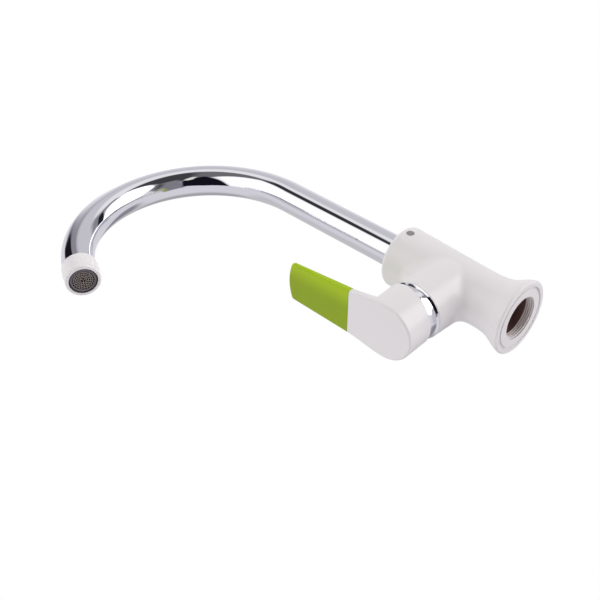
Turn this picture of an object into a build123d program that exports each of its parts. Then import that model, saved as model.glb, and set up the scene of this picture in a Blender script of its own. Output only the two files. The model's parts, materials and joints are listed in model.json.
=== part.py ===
"""Single-lever kitchen mixer tap with a swivelling arched spout, in millimetres.

Origin: centre of the base, on the face that stands on the worktop.
+Z is up the body. The outlet and the lever face -Y.
"""

import os
from math import asin, atan, cos, degrees, radians, sin

from build123d import *

# Fits and small edges
running_gap = 0.08
assembly_gap = 0.15
tiny_chamfer = 0.4

# Body: a column that flares into its foot
body_height = 102.6
foot_radius = 27.0
foot_edge = 1.3
foot_pull = 11.6
foot_lean = 2.6
waist_radius = 19.7
waist_height = 33.4
waist_pull = 23.0
shoulder_radius = 22.7
shoulder_edge = 3.8

# Hollow foot: M33 x 1.5 thread for the fixing shank, two M10 x 1 hose ports above it
shank_bore_radius = 15.7
shank_bore_depth = 26.0
foot_seal_radius = 22.3
foot_seal_width = 1.9
foot_seal_depth = 1.2
hose_port_radius = 4.5
hose_port_depth = 10.0
hose_port_spread = 8.0
hose_port_back = -6.0
waterway_radius = 3.0
drill_overrun = 1.0

# Cartridge chamber: a boss on the front of the column
cartridge_height = 54.8
boss_reach = 42.9
boss_root_radius = 20.0
boss_root_pull = 12.0
boss_waist_radius = 23.6
boss_face_radius = 21.3
boss_face_pull = 16.0
boss_edge = 0.6
boss_blend = 10.0
chamber_depth = 29.9
cartridge_radius = 17.4
nut_thread_radius = 19.0
nut_thread_depth = 5.6

# Cartridge: base, two ceramic discs, carrier, rotor and housing, stacked from the chamber's floor
base_thickness = 5.0
fixed_disc_thickness = 4.0
moving_disc_thickness = 3.6
moving_disc_radius = 12.2
disc_film = 0.05
pocket_width = 17.0
pocket_height = 12.4
pocket_centre = -2.2
pocket_corner = 4.5
pocket_depth = 1.8
carrier_thickness = 2.8
carrier_floor = 0.8
carrier_radius = 11.8
carrier_key_width = 13.0
carrier_key_length = 14.0
carrier_key_height = 3.2
housing_wall = 1.6
housing_barrel = 25.0
housing_roof = 2.0
housing_neck_radius = 13.4
housing_length = 36.6
rotor_neck_radius = 10.9
rotor_flange_thickness = 3.6
rotor_step = 2.0
inlet_radius = 2.6
inlet_spread = 6.2
inlet_rise = 3.8
outlet_radius = 3.8
outlet_drop = 5.6
port_seal_width = 1.2
port_seal_height = 1.0

# Lever pivot, its station measured from the chamber's floor
pivot_station = 33.5
pivot_pin_radius = 1.5
lift_range = 20.0
stem_width = 8.0
stem_arm_radius = 3.4
stem_ball_radius = 3.3
ball_seat_drop = 0.2
stem_arm_relief = 0.6
stem_front = 24.0

# Nut that holds the cartridge, and the chrome cover over it, its length measured from the boss
nut_height = 7.5
nut_slot_width = 3.0
nut_slot_depth = 1.6
nut_slot_count = 6
nut_head_radius = 17.2
cover_foot_radius = 20.9
cover_foot_thickness = 0.6
cover_radius = 19.95
cover_wall = 1.3
cover_length = 12.7
cover_mouth_radius = 14.4

# Lever: a round hub and a flat blade, with a soft sleeve on the blade's upper part
lever_length = 31.3
face_lean = 2.0
hub_radius = 21.4
hub_edge = 1.6
rim_station = 1.9
cup_radius = 20.2
cup_depth = 13.6
blade_half = 17.6
sleeve_start = 30.4
blade_tip_half = 15.2
blade_tip_height = 81.0
blade_tip_crown = 3.0
blade_tip_corner = 2.6
blade_thickness = 5.8
blade_tip_thickness = 4.0
blade_edge = 2.0
sleeve_wall = 1.0
sleeve_end_gap = 0.25
tongue_root = 4.0
tongue_edge = 0.8
grub_radius = 2.5
grub_length = 6.0
grub_station = 18.5
plug_radius = 3.2
plug_depth = 4.2
plug_recess = 0.3

# Spout: a bent tube on a turned end fitting
tube_radius = 12.0
tube_wall = 1.0
tube_seat = 4.0
riser_length = 114.5
arch_radius = 89.9
arch_sweep = 153.8
outlet_straight = 16.0
socket_depth = 11.2
socket_web = 3.4
lower_socket_radius = 10.6
well_radius = 4.0
well_back = 3.0
fitting_bore = 7.5
fitting_spigot = 12.0
fitting_foot = 2.0
fitting_lead = 0.8
groove_drop = 7.5
groove_width = 3.4
groove_radius = 9.9
lock_screw_radius = 2.6
lock_screw_recess = 0.25
hex_across_flats = 2.5
hex_depth = 1.6
o_ring_section = 1.8
o_ring_corner = 0.5
o_ring_gap = 0.05
lower_ring_share = 0.25
upper_ring_share = 0.6
slide_ring_height = 1.0

# Outlet: threaded collar that carries the aerator
collar_length = 17.0
collar_top_radius = 12.7
collar_belly = 5.0
collar_belly_radius = 12.65
collar_face_radius = 12.4
collar_edge = 1.1
tube_into_collar = 7.2
collar_gap = 0.2
bush_spigot = 4.0
bush_thread_length = 3.8
bush_bore = 9.4
washer_thickness = 1.0
aerator_flange = 0.8
aerator_radius = 10.1
aerator_wall = 0.9
aerator_recess = 0.5
aerator_depth = 8.0
insert_drop = 0.3
grid_radius = 7.9
grid_thickness = 0.8
grid_drop = 0.5
grid_hole = 0.7
grid_pitch = 1.3
grid_rings = 5
grid_ring_holes = 7
grid_boss_radius = 1.1
screen_layers = 2
screen_thickness = 0.4
screen_spacing = 2.0
screen_pitch = 3.4
screen_cells = 3
screen_hole = 2.8

os.makedirs("parts", exist_ok=True)


def save(builder, name):
    """Label a finished piece and write it to its own file."""
    builder.part.label = name
    export_step(builder.part, f"parts/{name}.step")
    return builder.part


# Stations along the cartridge axis, measured out from the column's axis
chamber_floor = boss_reach - chamber_depth
housing_shoulder = chamber_floor + housing_barrel
housing_end = chamber_floor + housing_length
pivot_reach = chamber_floor + pivot_station
cover_reach = boss_reach + cover_length
face_reach = boss_reach + lever_length
base_top = chamber_floor + base_thickness
fixed_disc_top = base_top + fixed_disc_thickness
moving_disc_start = fixed_disc_top + disc_film
carrier_start = moving_disc_start + moving_disc_thickness
carrier_top = carrier_start + carrier_thickness
housing_bore_radius = cartridge_radius - housing_wall
housing_bore_end = housing_shoulder - housing_roof
rotor_start = carrier_top + assembly_gap

# Heights in the column: the socket stands over the waterways, the spout hangs on the column's top
waterway_top = cartridge_height + inlet_rise + inlet_radius + drill_overrun
lower_socket_floor = waterway_top + socket_web
socket_step = body_height - socket_depth
lower_ring_height = lower_socket_floor + lower_ring_share * (socket_step - lower_socket_floor)
upper_ring_height = lower_socket_floor + upper_ring_share * (socket_step - lower_socket_floor)
groove_height = body_height - groove_drop
tube_start = body_height - tube_seat
riser_top = tube_start + riser_length

# Frames: the cartridge's own plane looks out of the boss, with its height at the boss's centre
cartridge = Plane(origin=(0, 0, cartridge_height), x_dir=(1, 0, 0), z_dir=(0, -1, 0))
cartridge_axis = Axis((0, 0, cartridge_height), (0, -1, 0))
side = Plane.YZ
rest_tilt = lift_range / 2
stem_plane = Plane(
    origin=(0, -pivot_reach, cartridge_height),
    x_dir=(1, 0, 0),
    z_dir=(0, -cos(radians(rest_tilt)), sin(radians(rest_tilt))),
)
lever_face = Plane(
    origin=(0, -face_reach, cartridge_height),
    x_dir=(1, 0, 0),
    z_dir=(0, -cos(radians(face_lean)), -sin(radians(face_lean))),
)

# The lever's ball end works in the carrier's hole
ball_reach = carrier_top + carrier_key_height / 2 - ball_seat_drop
ball_arm = pivot_reach - ball_reach
carrier_travel = ball_arm * sin(radians(rest_tilt))
print("carrier travel each way", round(carrier_travel, 3), "ball arm", round(ball_arm, 3))


def revolved_about_cartridge(points):
    """Turn an outline of (reach, radius) points about the cartridge axis."""
    with BuildPart() as turned:
        with BuildSketch(side):
            with BuildLine():
                Polyline([(-reach, cartridge_height + radius) for reach, radius in points], close=True)
            make_face()
        revolve(axis=cartridge_axis)
    return turned.part


# Body casting
column_slope = (shoulder_radius - waist_radius) / (body_height - shoulder_edge - waist_height)
with BuildPart() as body:
    with BuildSketch(Plane.XZ):
        with BuildLine():
            sole = Line((0, 0), (foot_radius - foot_edge, 0))
            lip = CenterArc((foot_radius - foot_edge, foot_edge), foot_edge, -90, 90)
            flare = Bezier(
                lip @ 1,
                (foot_radius - foot_lean, foot_pull),
                (waist_radius - column_slope * waist_pull, waist_height - waist_pull),
                (waist_radius, waist_height),
            )
            column = Line(flare @ 1, (shoulder_radius, body_height - shoulder_edge))
            crown_centre = (shoulder_radius - shoulder_edge, body_height - shoulder_edge)
            crown = CenterArc(crown_centre, shoulder_edge, 0, 90)
            roof = Line(crown @ 1, (0, body_height))
            Line(roof @ 1, sole @ 0)
        make_face()
    revolve(axis=Axis.Z)

    boss_rim = boss_reach - boss_edge
    with BuildSketch(side):
        with BuildLine():
            centre = Line((-boss_reach, cartridge_height), (0, cartridge_height))
            inner = Line(centre @ 1, (0, cartridge_height + boss_root_radius))
            flank = Bezier(
                inner @ 1,
                (-boss_root_pull, cartridge_height + boss_waist_radius),
                (-boss_rim + boss_face_pull, cartridge_height + boss_face_radius),
                (-boss_rim, cartridge_height + boss_face_radius),
            )
            Polyline(flank @ 1, (-boss_reach, cartridge_height + boss_face_radius - boss_edge), centre @ 0)
        make_face()
    revolve(axis=cartridge_axis)
    fillet(body.edges(Select.NEW), boss_blend)

    # Foot: bore for the shank, seal groove, hose ports and the waterways above them
    with BuildSketch(Plane.XY):
        Circle(shank_bore_radius)
    extrude(amount=shank_bore_depth, mode=Mode.SUBTRACT)
    with BuildSketch(Plane.XY):
        Circle(foot_seal_radius + foot_seal_width / 2)
        Circle(foot_seal_radius - foot_seal_width / 2, mode=Mode.SUBTRACT)
    extrude(amount=foot_seal_depth, mode=Mode.SUBTRACT)
    hose_ports = [(-hose_port_spread, hose_port_back), (hose_port_spread, hose_port_back)]
    with BuildSketch(Plane.XY.offset(shank_bore_depth)):
        with Locations(*hose_ports):
            Circle(hose_port_radius)
    extrude(amount=hose_port_depth, mode=Mode.SUBTRACT)
    with BuildSketch(Plane.XY.offset(shank_bore_depth)):
        with Locations(*hose_ports):
            Circle(waterway_radius)
    extrude(amount=waterway_top - shank_bore_depth, mode=Mode.SUBTRACT)

    # Cartridge chamber, the thread for its nut, and the ways through its floor
    with BuildSketch(cartridge.offset(chamber_floor)):
        Circle(cartridge_radius + assembly_gap)
    extrude(amount=boss_reach - chamber_floor, mode=Mode.SUBTRACT)
    with BuildSketch(cartridge.offset(boss_reach - nut_thread_depth)):
        Circle(nut_thread_radius)
    extrude(amount=nut_thread_depth, mode=Mode.SUBTRACT)
    inlets = [(-inlet_spread, inlet_rise), (inlet_spread, inlet_rise)]
    with BuildSketch(cartridge.offset(chamber_floor)):
        with Locations(*inlets):
            Circle(inlet_radius)
    extrude(amount=-(chamber_floor + hose_port_back), mode=Mode.SUBTRACT)
    with BuildSketch(cartridge.offset(chamber_floor)):
        with Locations((0, -outlet_drop)):
            Circle(outlet_radius)
    extrude(amount=-(chamber_floor + well_back), mode=Mode.SUBTRACT)

    # Spout socket in two steps, and the well that feeds it
    well_floor = cartridge_height - outlet_drop - outlet_radius - drill_overrun
    with BuildSketch(Plane.XY.offset(well_floor)):
        with Locations((0, well_back)):
            Circle(well_radius)
    extrude(amount=lower_socket_floor - well_floor, mode=Mode.SUBTRACT)
    with BuildSketch(Plane.XY.offset(lower_socket_floor)):
        Circle(lower_socket_radius)
    extrude(amount=body_height - lower_socket_floor, mode=Mode.SUBTRACT)
    with BuildSketch(Plane.XY.offset(socket_step)):
        Circle(tube_radius + assembly_gap)
    extrude(amount=socket_depth, mode=Mode.SUBTRACT)
    with BuildSketch(Plane.YZ):
        with Locations((0, groove_height)):
            Circle(lock_screw_radius)
    extrude(amount=shoulder_radius, mode=Mode.SUBTRACT)
save(body, "body_casting")

# Cartridge base: three ports, each with a seal seat on both faces
ports = [
    (-inlet_spread, inlet_rise, inlet_radius),
    (inlet_spread, inlet_rise, inlet_radius),
    (0, -outlet_drop, outlet_radius),
]


def port_rings(station, inner_growth, outer_growth):
    """Sketch a ring round each port, or a disc where there is no inner circle."""
    with BuildSketch(cartridge.offset(station)) as rings:
        for across, up, radius in ports:
            with Locations((across, up)):
                Circle(radius + outer_growth)
                if inner_growth is not None:
                    Circle(radius + inner_growth, mode=Mode.SUBTRACT)
    return rings.sketch


with BuildPart() as cartridge_base:
    with BuildSketch(cartridge.offset(chamber_floor)):
        Circle(cartridge_radius)
    extrude(amount=base_thickness)
    extrude(port_rings(chamber_floor, None, 0), amount=base_thickness, mode=Mode.SUBTRACT)
    extrude(port_rings(chamber_floor, None, port_seal_width), amount=port_seal_height, mode=Mode.SUBTRACT)
    extrude(port_rings(base_top, None, port_seal_width), amount=-port_seal_height, mode=Mode.SUBTRACT)
save(cartridge_base, "cartridge_base")

with BuildPart() as floor_seals:
    extrude(port_rings(chamber_floor, 0, port_seal_width), amount=port_seal_height)
save(floor_seals, "floor_seals")

with BuildPart() as disc_seals:
    extrude(port_rings(base_top - port_seal_height, 0, port_seal_width), amount=port_seal_height)
save(disc_seals, "disc_seals")

# Ceramic discs: the fixed one has the three ports, the moving one a pocket that joins them
with BuildPart() as fixed_disc:
    with BuildSketch(cartridge.offset(base_top)):
        Circle(housing_bore_radius - assembly_gap)
    extrude(amount=fixed_disc_thickness)
    extrude(port_rings(base_top, None, 0), amount=fixed_disc_thickness, mode=Mode.SUBTRACT)
save(fixed_disc, "fixed_disc")

# At rest the lever is down, so the moving disc and its carrier stand low by half their travel
with BuildPart() as moving_disc:
    with BuildSketch(cartridge.offset(moving_disc_start)):
        with Locations((0, -carrier_travel)):
            Circle(moving_disc_radius)
    extrude(amount=moving_disc_thickness)
    with BuildSketch(cartridge.offset(moving_disc_start)):
        with Locations((0, -carrier_travel + pocket_centre)):
            RectangleRounded(pocket_width, pocket_height, pocket_corner)
    extrude(amount=pocket_depth, mode=Mode.SUBTRACT)
save(moving_disc, "moving_disc")

with BuildPart() as disc_carrier:
    with BuildSketch(cartridge.offset(carrier_start)):
        with Locations((0, -carrier_travel)):
            Circle(carrier_radius)
    extrude(amount=carrier_thickness)
    with BuildSketch(cartridge.offset(carrier_top)):
        with Locations((0, -carrier_travel)):
            Rectangle(carrier_key_width, carrier_key_length)
    extrude(amount=carrier_key_height)
    with BuildSketch(cartridge.offset(carrier_start + carrier_floor)):
        with Locations((0, -carrier_travel)):
            Circle(stem_ball_radius + running_gap)
    extrude(amount=carrier_top + carrier_key_height - carrier_start - carrier_floor, mode=Mode.SUBTRACT)
save(disc_carrier, "disc_carrier")

# Rotor: a skirt with a guideway for the carrier's key, a neck, and a slot for the lever stem
stem_slot_height = 2 * (ball_arm * sin(radians(rest_tilt)) + stem_arm_radius + 2 * assembly_gap)
with BuildPart() as rotor:
    add(
        revolved_about_cartridge(
            [
                (rotor_start, 0),
                (rotor_start, housing_bore_radius - running_gap),
                (rotor_start + rotor_flange_thickness, housing_bore_radius - running_gap),
                (housing_bore_end - assembly_gap, rotor_neck_radius + rotor_step),
                (housing_bore_end - assembly_gap, rotor_neck_radius),
                (housing_end, rotor_neck_radius),
                (housing_end, 0),
            ]
        )
    )
    with BuildSketch(cartridge.offset(rotor_start)):
        Rectangle(carrier_key_width + 2 * running_gap, 2 * cartridge_radius)
    extrude(amount=carrier_top + carrier_key_height + assembly_gap - rotor_start, mode=Mode.SUBTRACT)
    with BuildSketch(cartridge.offset(rotor_start)):
        Rectangle(stem_width + 2 * assembly_gap, stem_slot_height)
    extrude(amount=housing_end - rotor_start, mode=Mode.SUBTRACT)
    with BuildSketch(side):
        with Locations((-pivot_reach, cartridge_height)):
            Circle(pivot_pin_radius)
    extrude(amount=cartridge_radius, both=True, mode=Mode.SUBTRACT)
save(rotor, "cartridge_rotor")

with BuildPart() as pivot_pin:
    with BuildSketch(side):
        with Locations((-pivot_reach, cartridge_height)):
            Circle(pivot_pin_radius)
    extrude(amount=rotor_neck_radius - assembly_gap, both=True)
save(pivot_pin, "pivot_pin")

with BuildPart() as housing:
    add(
        revolved_about_cartridge(
            [
                (base_top, cartridge_radius),
                (housing_shoulder, cartridge_radius),
                (housing_shoulder, housing_neck_radius),
                (housing_end, housing_neck_radius),
                (housing_end, rotor_neck_radius + running_gap),
                (housing_bore_end, rotor_neck_radius + running_gap),
                (housing_bore_end, rotor_neck_radius + rotor_step + assembly_gap),
                (rotor_start + rotor_flange_thickness + assembly_gap, housing_bore_radius),
                (base_top, housing_bore_radius),
            ]
        )
    )
save(housing, "cartridge_housing")

# Nut on the housing's shoulder, slotted for a wrench
with BuildPart() as nut:
    add(
        revolved_about_cartridge(
            [
                (housing_shoulder, housing_neck_radius + assembly_gap),
                (housing_shoulder, nut_thread_radius - running_gap),
                (boss_reach, nut_thread_radius - running_gap),
                (boss_reach, nut_head_radius),
                (housing_shoulder + nut_height, nut_head_radius),
                (housing_shoulder + nut_height, housing_neck_radius + assembly_gap),
            ]
        )
    )
    with BuildSketch(cartridge.offset(boss_reach)):
        with PolarLocations(nut_head_radius, nut_slot_count):
            Rectangle(nut_slot_depth * 2, nut_slot_width)
    extrude(amount=nut_height, mode=Mode.SUBTRACT)
save(nut, "cartridge_nut")

# Chrome cover: a thin dome centred on the lever's pivot, so the hub's rim passes over it evenly
dome_foot = boss_reach + cover_foot_thickness
foot_angle = degrees(asin((dome_foot - pivot_reach) / cover_radius))
nose_angle = degrees(asin((cover_reach - pivot_reach) / cover_radius))
middle_angle = radians((foot_angle + nose_angle) / 2)
inner_radius = cover_radius - cover_wall
inner_nose = cover_reach - cover_wall
inner_nose_angle = degrees(asin((inner_nose - pivot_reach) / inner_radius))
inner_foot_angle = degrees(asin((boss_reach - pivot_reach) / inner_radius))
inner_middle = radians((inner_foot_angle + inner_nose_angle) / 2)


def dome_point(radius, angle):
    """Point on a circle about the pivot, with the angle in radians from the cartridge's cross-section."""
    return (-pivot_reach - radius * sin(angle), cartridge_height + radius * cos(angle))


with BuildPart() as cover:
    with BuildSketch(side):
        with BuildLine():
            flange = Polyline(
                (-boss_reach, cartridge_height + inner_radius * cos(radians(inner_foot_angle))),
                (-boss_reach, cartridge_height + cover_foot_radius),
                (-dome_foot, cartridge_height + cover_foot_radius),
                dome_point(cover_radius, radians(foot_angle)),
            )
            dome = ThreePointArc(
                flange @ 1,
                dome_point(cover_radius, middle_angle),
                dome_point(cover_radius, radians(nose_angle)),
            )
            nose = Polyline(
                dome @ 1,
                (-cover_reach, cartridge_height + cover_mouth_radius),
                (-inner_nose, cartridge_height + cover_mouth_radius),
                dome_point(inner_radius, radians(inner_nose_angle)),
            )
            ThreePointArc(nose @ 1, dome_point(inner_radius, inner_middle), flange @ 0)
        make_face()
    revolve(axis=cartridge_axis)
save(cover, "cartridge_cover")

# Lever stem: ball end in the carrier, pivot hole, and a square end for the lever
with BuildPart() as stem:
    with BuildSketch(stem_plane.offset(-ball_arm)):
        Circle(stem_arm_radius - stem_arm_relief)
    extrude(amount=ball_arm)
    with Locations(stem_plane.offset(-ball_arm)):
        Sphere(stem_ball_radius)
    with BuildSketch(stem_plane.offset(-stem_width / 2)):
        Rectangle(stem_width, stem_width)
    extrude(amount=stem_front + stem_width / 2)
    chamfer(stem.faces().sort_by(Axis.Y)[0].edges(), tiny_chamfer)
    with BuildSketch(side):
        with Locations((-pivot_reach, cartridge_height)):
            Circle(pivot_pin_radius + running_gap)
    extrude(amount=stem_width, both=True, mode=Mode.SUBTRACT)
save(stem, "lever_stem")

# Outer form of the lever: blade and hub as one, later parted where the sleeve begins
grub_centre = stem_plane.offset(grub_station).origin
grub_place = (grub_centre.Y, grub_centre.Z)
rim_plane = stem_plane.offset(rim_station)
sleeve_plane = Plane(
    origin=lever_face.from_local_coords((0, sleeve_start, 0)), x_dir=(1, 0, 0), z_dir=lever_face.y_dir
)
blade_wedge = atan((blade_thickness - blade_tip_thickness) / (blade_tip_height - sleeve_start))
blade_back = Plane(
    origin=lever_face.from_local_coords((0, sleeve_start, -blade_thickness)),
    x_dir=(1, 0, 0),
    z_dir=lever_face.y_dir * sin(blade_wedge) - lever_face.z_dir * cos(blade_wedge),
)
with BuildPart() as lever_form:
    with BuildSketch(lever_face) as blade_outline:
        with BuildLine():
            foot = CenterArc((0, 0), hub_radius, -90, 90)
            taper = (blade_tip_half - blade_half, blade_tip_height - sleeve_start)
            flank = Spline(foot @ 1, (blade_half, sleeve_start), tangents=[(0, 1), taper])
            upper = Line(flank @ 1, (blade_tip_half, blade_tip_height))
            crown_chord = blade_tip_half / 2
            crown_rise = blade_tip_crown * (1 - (crown_chord / blade_tip_half) ** 2)
            ThreePointArc(
                upper @ 1,
                (crown_chord, blade_tip_height + crown_rise),
                (0, blade_tip_height + blade_tip_crown),
            )
            mirror(about=Plane.YZ)
        make_face()
        corners = [corner for corner in vertices() if abs(abs(corner.X) - blade_tip_half) < running_gap]
        fillet(corners, blade_tip_corner)
    extrude(amount=-(face_reach - pivot_reach))
    split(bisect_by=blade_back, keep=Keep.BOTTOM)
    fillet(faces().filter_by(GeomType.PLANE).sort_by(Axis.Y)[-1].edges(), blade_edge)
    fillet(faces().filter_by(GeomType.PLANE).sort_by(Axis.Y)[0].edges(), hub_edge)
    with BuildSketch(lever_face.offset(-hub_edge - tiny_chamfer)):
        Circle(hub_radius)
    extrude(amount=-(face_reach - boss_reach))
    split(bisect_by=rim_plane, keep=Keep.TOP)


def climbs(edge):
    """True for an edge that runs up the blade rather than across or through it."""
    direction = edge % 0.5
    return abs(direction.Z) > max(abs(direction.X), abs(direction.Y))


def tongue(gap):
    """The core that carries the sleeve, grown by gap all round for the sleeve's own hollow."""
    inset = sleeve_wall - gap
    with BuildPart() as core:
        with BuildSketch(lever_face.offset(-inset)):
            with BuildLine():
                Polyline(
                    (blade_half - inset, sleeve_start - tongue_root),
                    (blade_half - inset, sleeve_start),
                    (blade_tip_half - inset, blade_tip_height - inset),
                    (-blade_tip_half + inset, blade_tip_height - inset),
                    (-blade_half + inset, sleeve_start),
                    (-blade_half + inset, sleeve_start - tongue_root),
                    close=True,
                )
            make_face()
        extrude(amount=-(face_reach - pivot_reach))
        split(bisect_by=blade_back.offset(-inset), keep=Keep.BOTTOM)
        fillet(core.edges().filter_by(climbs), tongue_edge)
    return core.part


with BuildPart() as cup_hollow:
    with Locations(stem_plane):
        Sphere(cup_radius)
    split(bisect_by=stem_plane.offset(cup_depth), keep=Keep.BOTTOM)

with BuildPart() as lever:
    add(lever_form.part)
    split(bisect_by=sleeve_plane, keep=Keep.BOTTOM)
    add(tongue(0))
    add(cup_hollow.part, mode=Mode.SUBTRACT)
    with BuildSketch(stem_plane.offset(0)):
        Rectangle(stem_width + 2 * running_gap, stem_width + 2 * running_gap)
    extrude(amount=stem_front + assembly_gap, mode=Mode.SUBTRACT)
    with BuildSketch(side):
        with Locations(grub_place):
            Circle(grub_radius)
    extrude(amount=-hub_radius, mode=Mode.SUBTRACT)
    with BuildSketch(side.offset(-hub_radius - plug_radius)):
        with Locations(grub_place):
            Circle(plug_radius)
    extrude(amount=plug_radius + plug_depth, mode=Mode.SUBTRACT)
save(lever, "lever_handle")

with BuildPart() as sleeve:
    add(lever_form.part)
    split(bisect_by=sleeve_plane.offset(sleeve_end_gap), keep=Keep.TOP)
    add(tongue(running_gap), mode=Mode.SUBTRACT)
save(sleeve, "grip_sleeve")

# Grub screw that clamps the lever on its stem, under a plug in the hub's side
with BuildPart() as grub_screw:
    with BuildSketch(side.offset(-stem_width / 2 - running_gap)):
        with Locations(grub_place):
            Circle(grub_radius - running_gap)
    extrude(amount=-grub_length)
    chamfer(edges().group_by(Axis.X)[-1], tiny_chamfer)
    with BuildSketch(side.offset(-stem_width / 2 - running_gap - grub_length)):
        with Locations(grub_place):
            RegularPolygon(hex_across_flats / 2, 6, major_radius=False)
    extrude(amount=hex_depth, mode=Mode.SUBTRACT)
save(grub_screw, "lever_grub_screw")

plug_seat = hub_radius - plug_depth
with BuildPart() as plug:
    with BuildSketch(side.offset(-plug_seat)):
        with Locations(grub_place):
            Circle(plug_radius - running_gap)
    extrude(amount=-(plug_depth - plug_recess))
    chamfer(edges().group_by(Axis.X)[0], tiny_chamfer)
save(plug, "indicator_plug")

# Spout: tube bent in one arch, brass end fitting with its groove and seals
with BuildPart() as tube:
    with BuildLine(Plane.YZ) as route:
        riser = Line((0, tube_start), (0, riser_top))
        arch = JernArc(start=riser @ 1, tangent=riser % 1, radius=arch_radius, arc_size=arch_sweep)
        tube_tail = outlet_straight - collar_length + tube_into_collar
        Line(arch @ 1, arch @ 1 + (arch % 1) * tube_tail)
    with BuildSketch(Plane.XY.offset(tube_start)):
        Circle(tube_radius)
        Circle(tube_radius - tube_wall, mode=Mode.SUBTRACT)
    sweep()
save(tube, "spout_tube")
flow = arch % 1
outlet_centre = arch @ 1 + flow * outlet_straight
outlet = Plane(origin=outlet_centre, x_dir=(1, 0, 0), z_dir=flow)
outlet_axis = Axis(outlet_centre, flow)
print("outlet centre", outlet_centre, "flow", flow)

fitting_shoulder = socket_step + slide_ring_height
shank_radius = lower_socket_radius - assembly_gap
ring_outer = lower_socket_radius - o_ring_gap
ring_inner = ring_outer - o_ring_section


def revolved_about_column(points):
    """Turn an outline of (radius, height) points about the column's axis."""
    with BuildPart() as turned:
        with BuildSketch(Plane.XZ):
            with BuildLine():
                Polyline(points, close=True)
            make_face()
        revolve(axis=Axis.Z)
    return turned.part


def ring_groove(height):
    """A square groove for an O-ring at the given height."""
    half = o_ring_section / 2 + assembly_gap
    return [
        (ring_inner, height - half),
        (lower_socket_radius, height - half),
        (lower_socket_radius, height + half),
        (ring_inner, height + half),
    ]


def squeezed_ring(height):
    """An O-ring in its groove, with its round section pressed to eight flats."""
    half = o_ring_section / 2
    return [
        (ring_inner, height - half + o_ring_corner),
        (ring_inner + o_ring_corner, height - half),
        (ring_outer - o_ring_corner, height - half),
        (ring_outer, height - half + o_ring_corner),
        (ring_outer, height + half - o_ring_corner),
        (ring_outer - o_ring_corner, height + half),
        (ring_inner + o_ring_corner, height + half),
        (ring_inner, height + half - o_ring_corner),
    ]


with BuildPart() as fitting:
    spigot_radius = tube_radius - tube_wall - running_gap
    add(
        revolved_about_column(
            [
                (fitting_bore, lower_socket_floor + fitting_foot),
                (shank_radius - fitting_lead, lower_socket_floor + fitting_foot),
                (shank_radius, lower_socket_floor + fitting_foot + fitting_lead),
                (shank_radius, fitting_shoulder),
                (tube_radius, fitting_shoulder),
                (tube_radius, groove_height - groove_width / 2),
                (groove_radius, groove_height - groove_width / 2),
                (groove_radius, groove_height + groove_width / 2),
                (tube_radius, groove_height + groove_width / 2),
                (tube_radius, tube_start),
                (spigot_radius, tube_start),
                (spigot_radius, tube_start + fitting_spigot),
                (fitting_bore, tube_start + fitting_spigot),
            ]
        )
    )
    for height in (lower_ring_height, upper_ring_height):
        add(revolved_about_column(ring_groove(height)), mode=Mode.SUBTRACT)
save(fitting, "spout_fitting")

with BuildPart() as o_rings:
    for height in (lower_ring_height, upper_ring_height):
        add(revolved_about_column(squeezed_ring(height)))
save(o_rings, "spout_o_rings")

with BuildPart() as slide_ring:
    with BuildSketch(Plane.XY.offset(socket_step)):
        Circle(tube_radius)
        Circle(shank_radius + running_gap, mode=Mode.SUBTRACT)
    extrude(amount=slide_ring_height)
save(slide_ring, "spout_slide_ring")

# Screw in the column's side whose dog point runs in the fitting's groove
column_radius = waist_radius + column_slope * (groove_height - waist_height)
screw_face = column_radius - lock_screw_recess
dog_start = tube_radius + assembly_gap
with BuildPart() as lock_screw:
    with BuildSketch(side.offset(dog_start)):
        with Locations((0, groove_height)):
            Circle(lock_screw_radius - running_gap)
    extrude(amount=screw_face - dog_start)
    chamfer(edges().group_by(Axis.X)[-1], tiny_chamfer)
    with BuildSketch(side.offset(dog_start)):
        with Locations((0, groove_height)):
            Circle(groove_width / 2 - assembly_gap)
    extrude(amount=-(dog_start - groove_radius - assembly_gap))
    with BuildSketch(side.offset(screw_face)):
        with Locations((0, groove_height)):
            RegularPolygon(hex_across_flats / 2, 6, major_radius=False)
    extrude(amount=-hex_depth, mode=Mode.SUBTRACT)
save(lock_screw, "spout_lock_screw")


outlet_section = Plane(origin=outlet_centre, x_dir=(1, 0, 0), z_dir=flow.cross(Vector(1, 0, 0)))


def revolved_about_outlet(points):
    """Turn an outline of (radius, station) points about the outlet's axis, stations along the flow."""
    with BuildPart() as turned:
        with BuildSketch(outlet_section):
            with BuildLine():
                Polyline([(radius, -station) for radius, station in points], close=True)
            make_face()
        revolve(axis=outlet_axis)
    return turned.part


# Outlet: bush in the tube's end, collar over it, washer and aerator inside
tube_end = tube_into_collar - collar_length
bush_end = tube_end + bush_thread_length
washer_end = bush_end + washer_thickness
ledge = washer_end + aerator_flange
with BuildPart() as outlet_bush:
    add(
        revolved_about_outlet(
            [
                (bush_bore, tube_end - bush_spigot),
                (tube_radius - tube_wall - running_gap, tube_end - bush_spigot),
                (tube_radius - tube_wall - running_gap, tube_end),
                (tube_radius, tube_end),
                (tube_radius, bush_end),
                (bush_bore, bush_end),
            ]
        )
    )
save(outlet_bush, "outlet_bush")

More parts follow.
